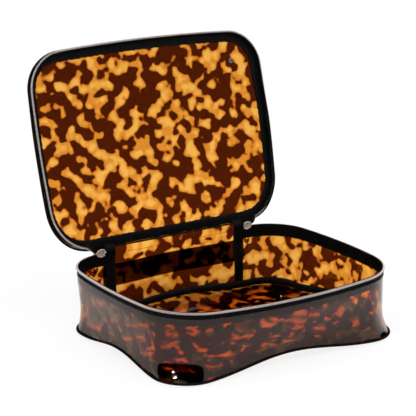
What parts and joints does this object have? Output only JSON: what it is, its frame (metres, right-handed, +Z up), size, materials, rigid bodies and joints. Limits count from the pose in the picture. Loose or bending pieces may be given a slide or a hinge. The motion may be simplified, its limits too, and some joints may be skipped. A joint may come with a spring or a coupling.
{
  "type": "makeup case",
  "caption": "Soft see-through zip-round makeup case: a flared tray and a flat lid hinged by its own folded back wall, bound in dark ribbon, with two sliders that meet.",
  "frame": {"origin": "middle of the flat floor that the case stands on", "axes": "+Z up, +Y towards the spine where the lid is hinged, +X to the right seen from the open front"},
  "size_m": [0.2828, 0.2784, 0.2702],
  "materials": {
    "vinyl": "see-through tortoiseshell sheet, amber islands in dark red-brown, glossy both sides",
    "ribbon": "black grosgrain ribbon and zip tape, fine cross ribs, low sheen",
    "webbing": "black woven webbing seen through the sheet as a dark olive band",
    "zip_coil": "metallised nylon coil, pink silver, finely ridged",
    "metal": "die-cast zip sliders, pulls and a domed stud, plated bright with a warm tint"
  },
  "bodies": {
    "base": {"bottom_panel": "vinyl", "side_gusset": "vinyl", "spine_panel": "vinyl", "bottom_seam_binding": "ribbon", "bottom_edge_piping": "ribbon", "left_seam_binding": "ribbon", "right_seam_binding": "ribbon", "base_zip_tape": "ribbon", "base_zip_coil": "zip_coil", "spine_strap": "webbing", "spine_fold": "vinyl", "seam_binding_folds": "ribbon", "left_zip_fold": "zip_coil", "right_zip_fold": "zip_coil"},
    "lid": {"lid_panel": "vinyl", "lid_seam_binding": "ribbon", "lid_edge_piping": "ribbon", "lid_zip_tape": "ribbon", "lid_zip_coil": "zip_coil", "lid_spine_strip": "vinyl", "stud_cap": "metal", "stud_post": "metal", "stud_back": "metal"},
    "left_slider": {"left_slider": "metal"},
    "left_pull": {"left_pull": "metal"},
    "right_slider": {"right_slider": "metal"},
    "right_pull": {"right_pull": "metal"}
  },
  "joints": [
    {"name": "lid_hinge", "type": "hinge", "parent": "base", "child": "lid", "pos_m": [0, 0.1053, 0.0711], "axis": [-1, 0, 0], "range_deg": [-105, 45], "deforming": ["spine_fold", "seam_binding_folds", "left_zip_fold", "right_zip_fold"]},
    {"name": "left_slider_run", "type": "hinge", "parent": "base", "child": "left_slider", "pos_m": [-0.0905, 0.0565, 0.07], "axis": [0, 0, 1], "range_deg": [0, 85]},
    {"name": "right_slider_run", "type": "hinge", "parent": "base", "child": "right_slider", "pos_m": [0.0905, 0.0565, 0.07], "axis": [0, 0, -1], "range_deg": [0, 85]},
    {"name": "left_pull_swing", "type": "hinge", "parent": "left_slider", "child": "left_pull", "pos_m": [-0.0935, 0.1035, 0.07], "axis": [0, 1, 0], "range_deg": [-40, 85]},
    {"name": "right_pull_swing", "type": "hinge", "parent": "right_slider", "child": "right_pull", "pos_m": [0.0935, 0.1035, 0.07], "axis": [0, -1, 0], "range_deg": [-40, 85]}
  ]
}
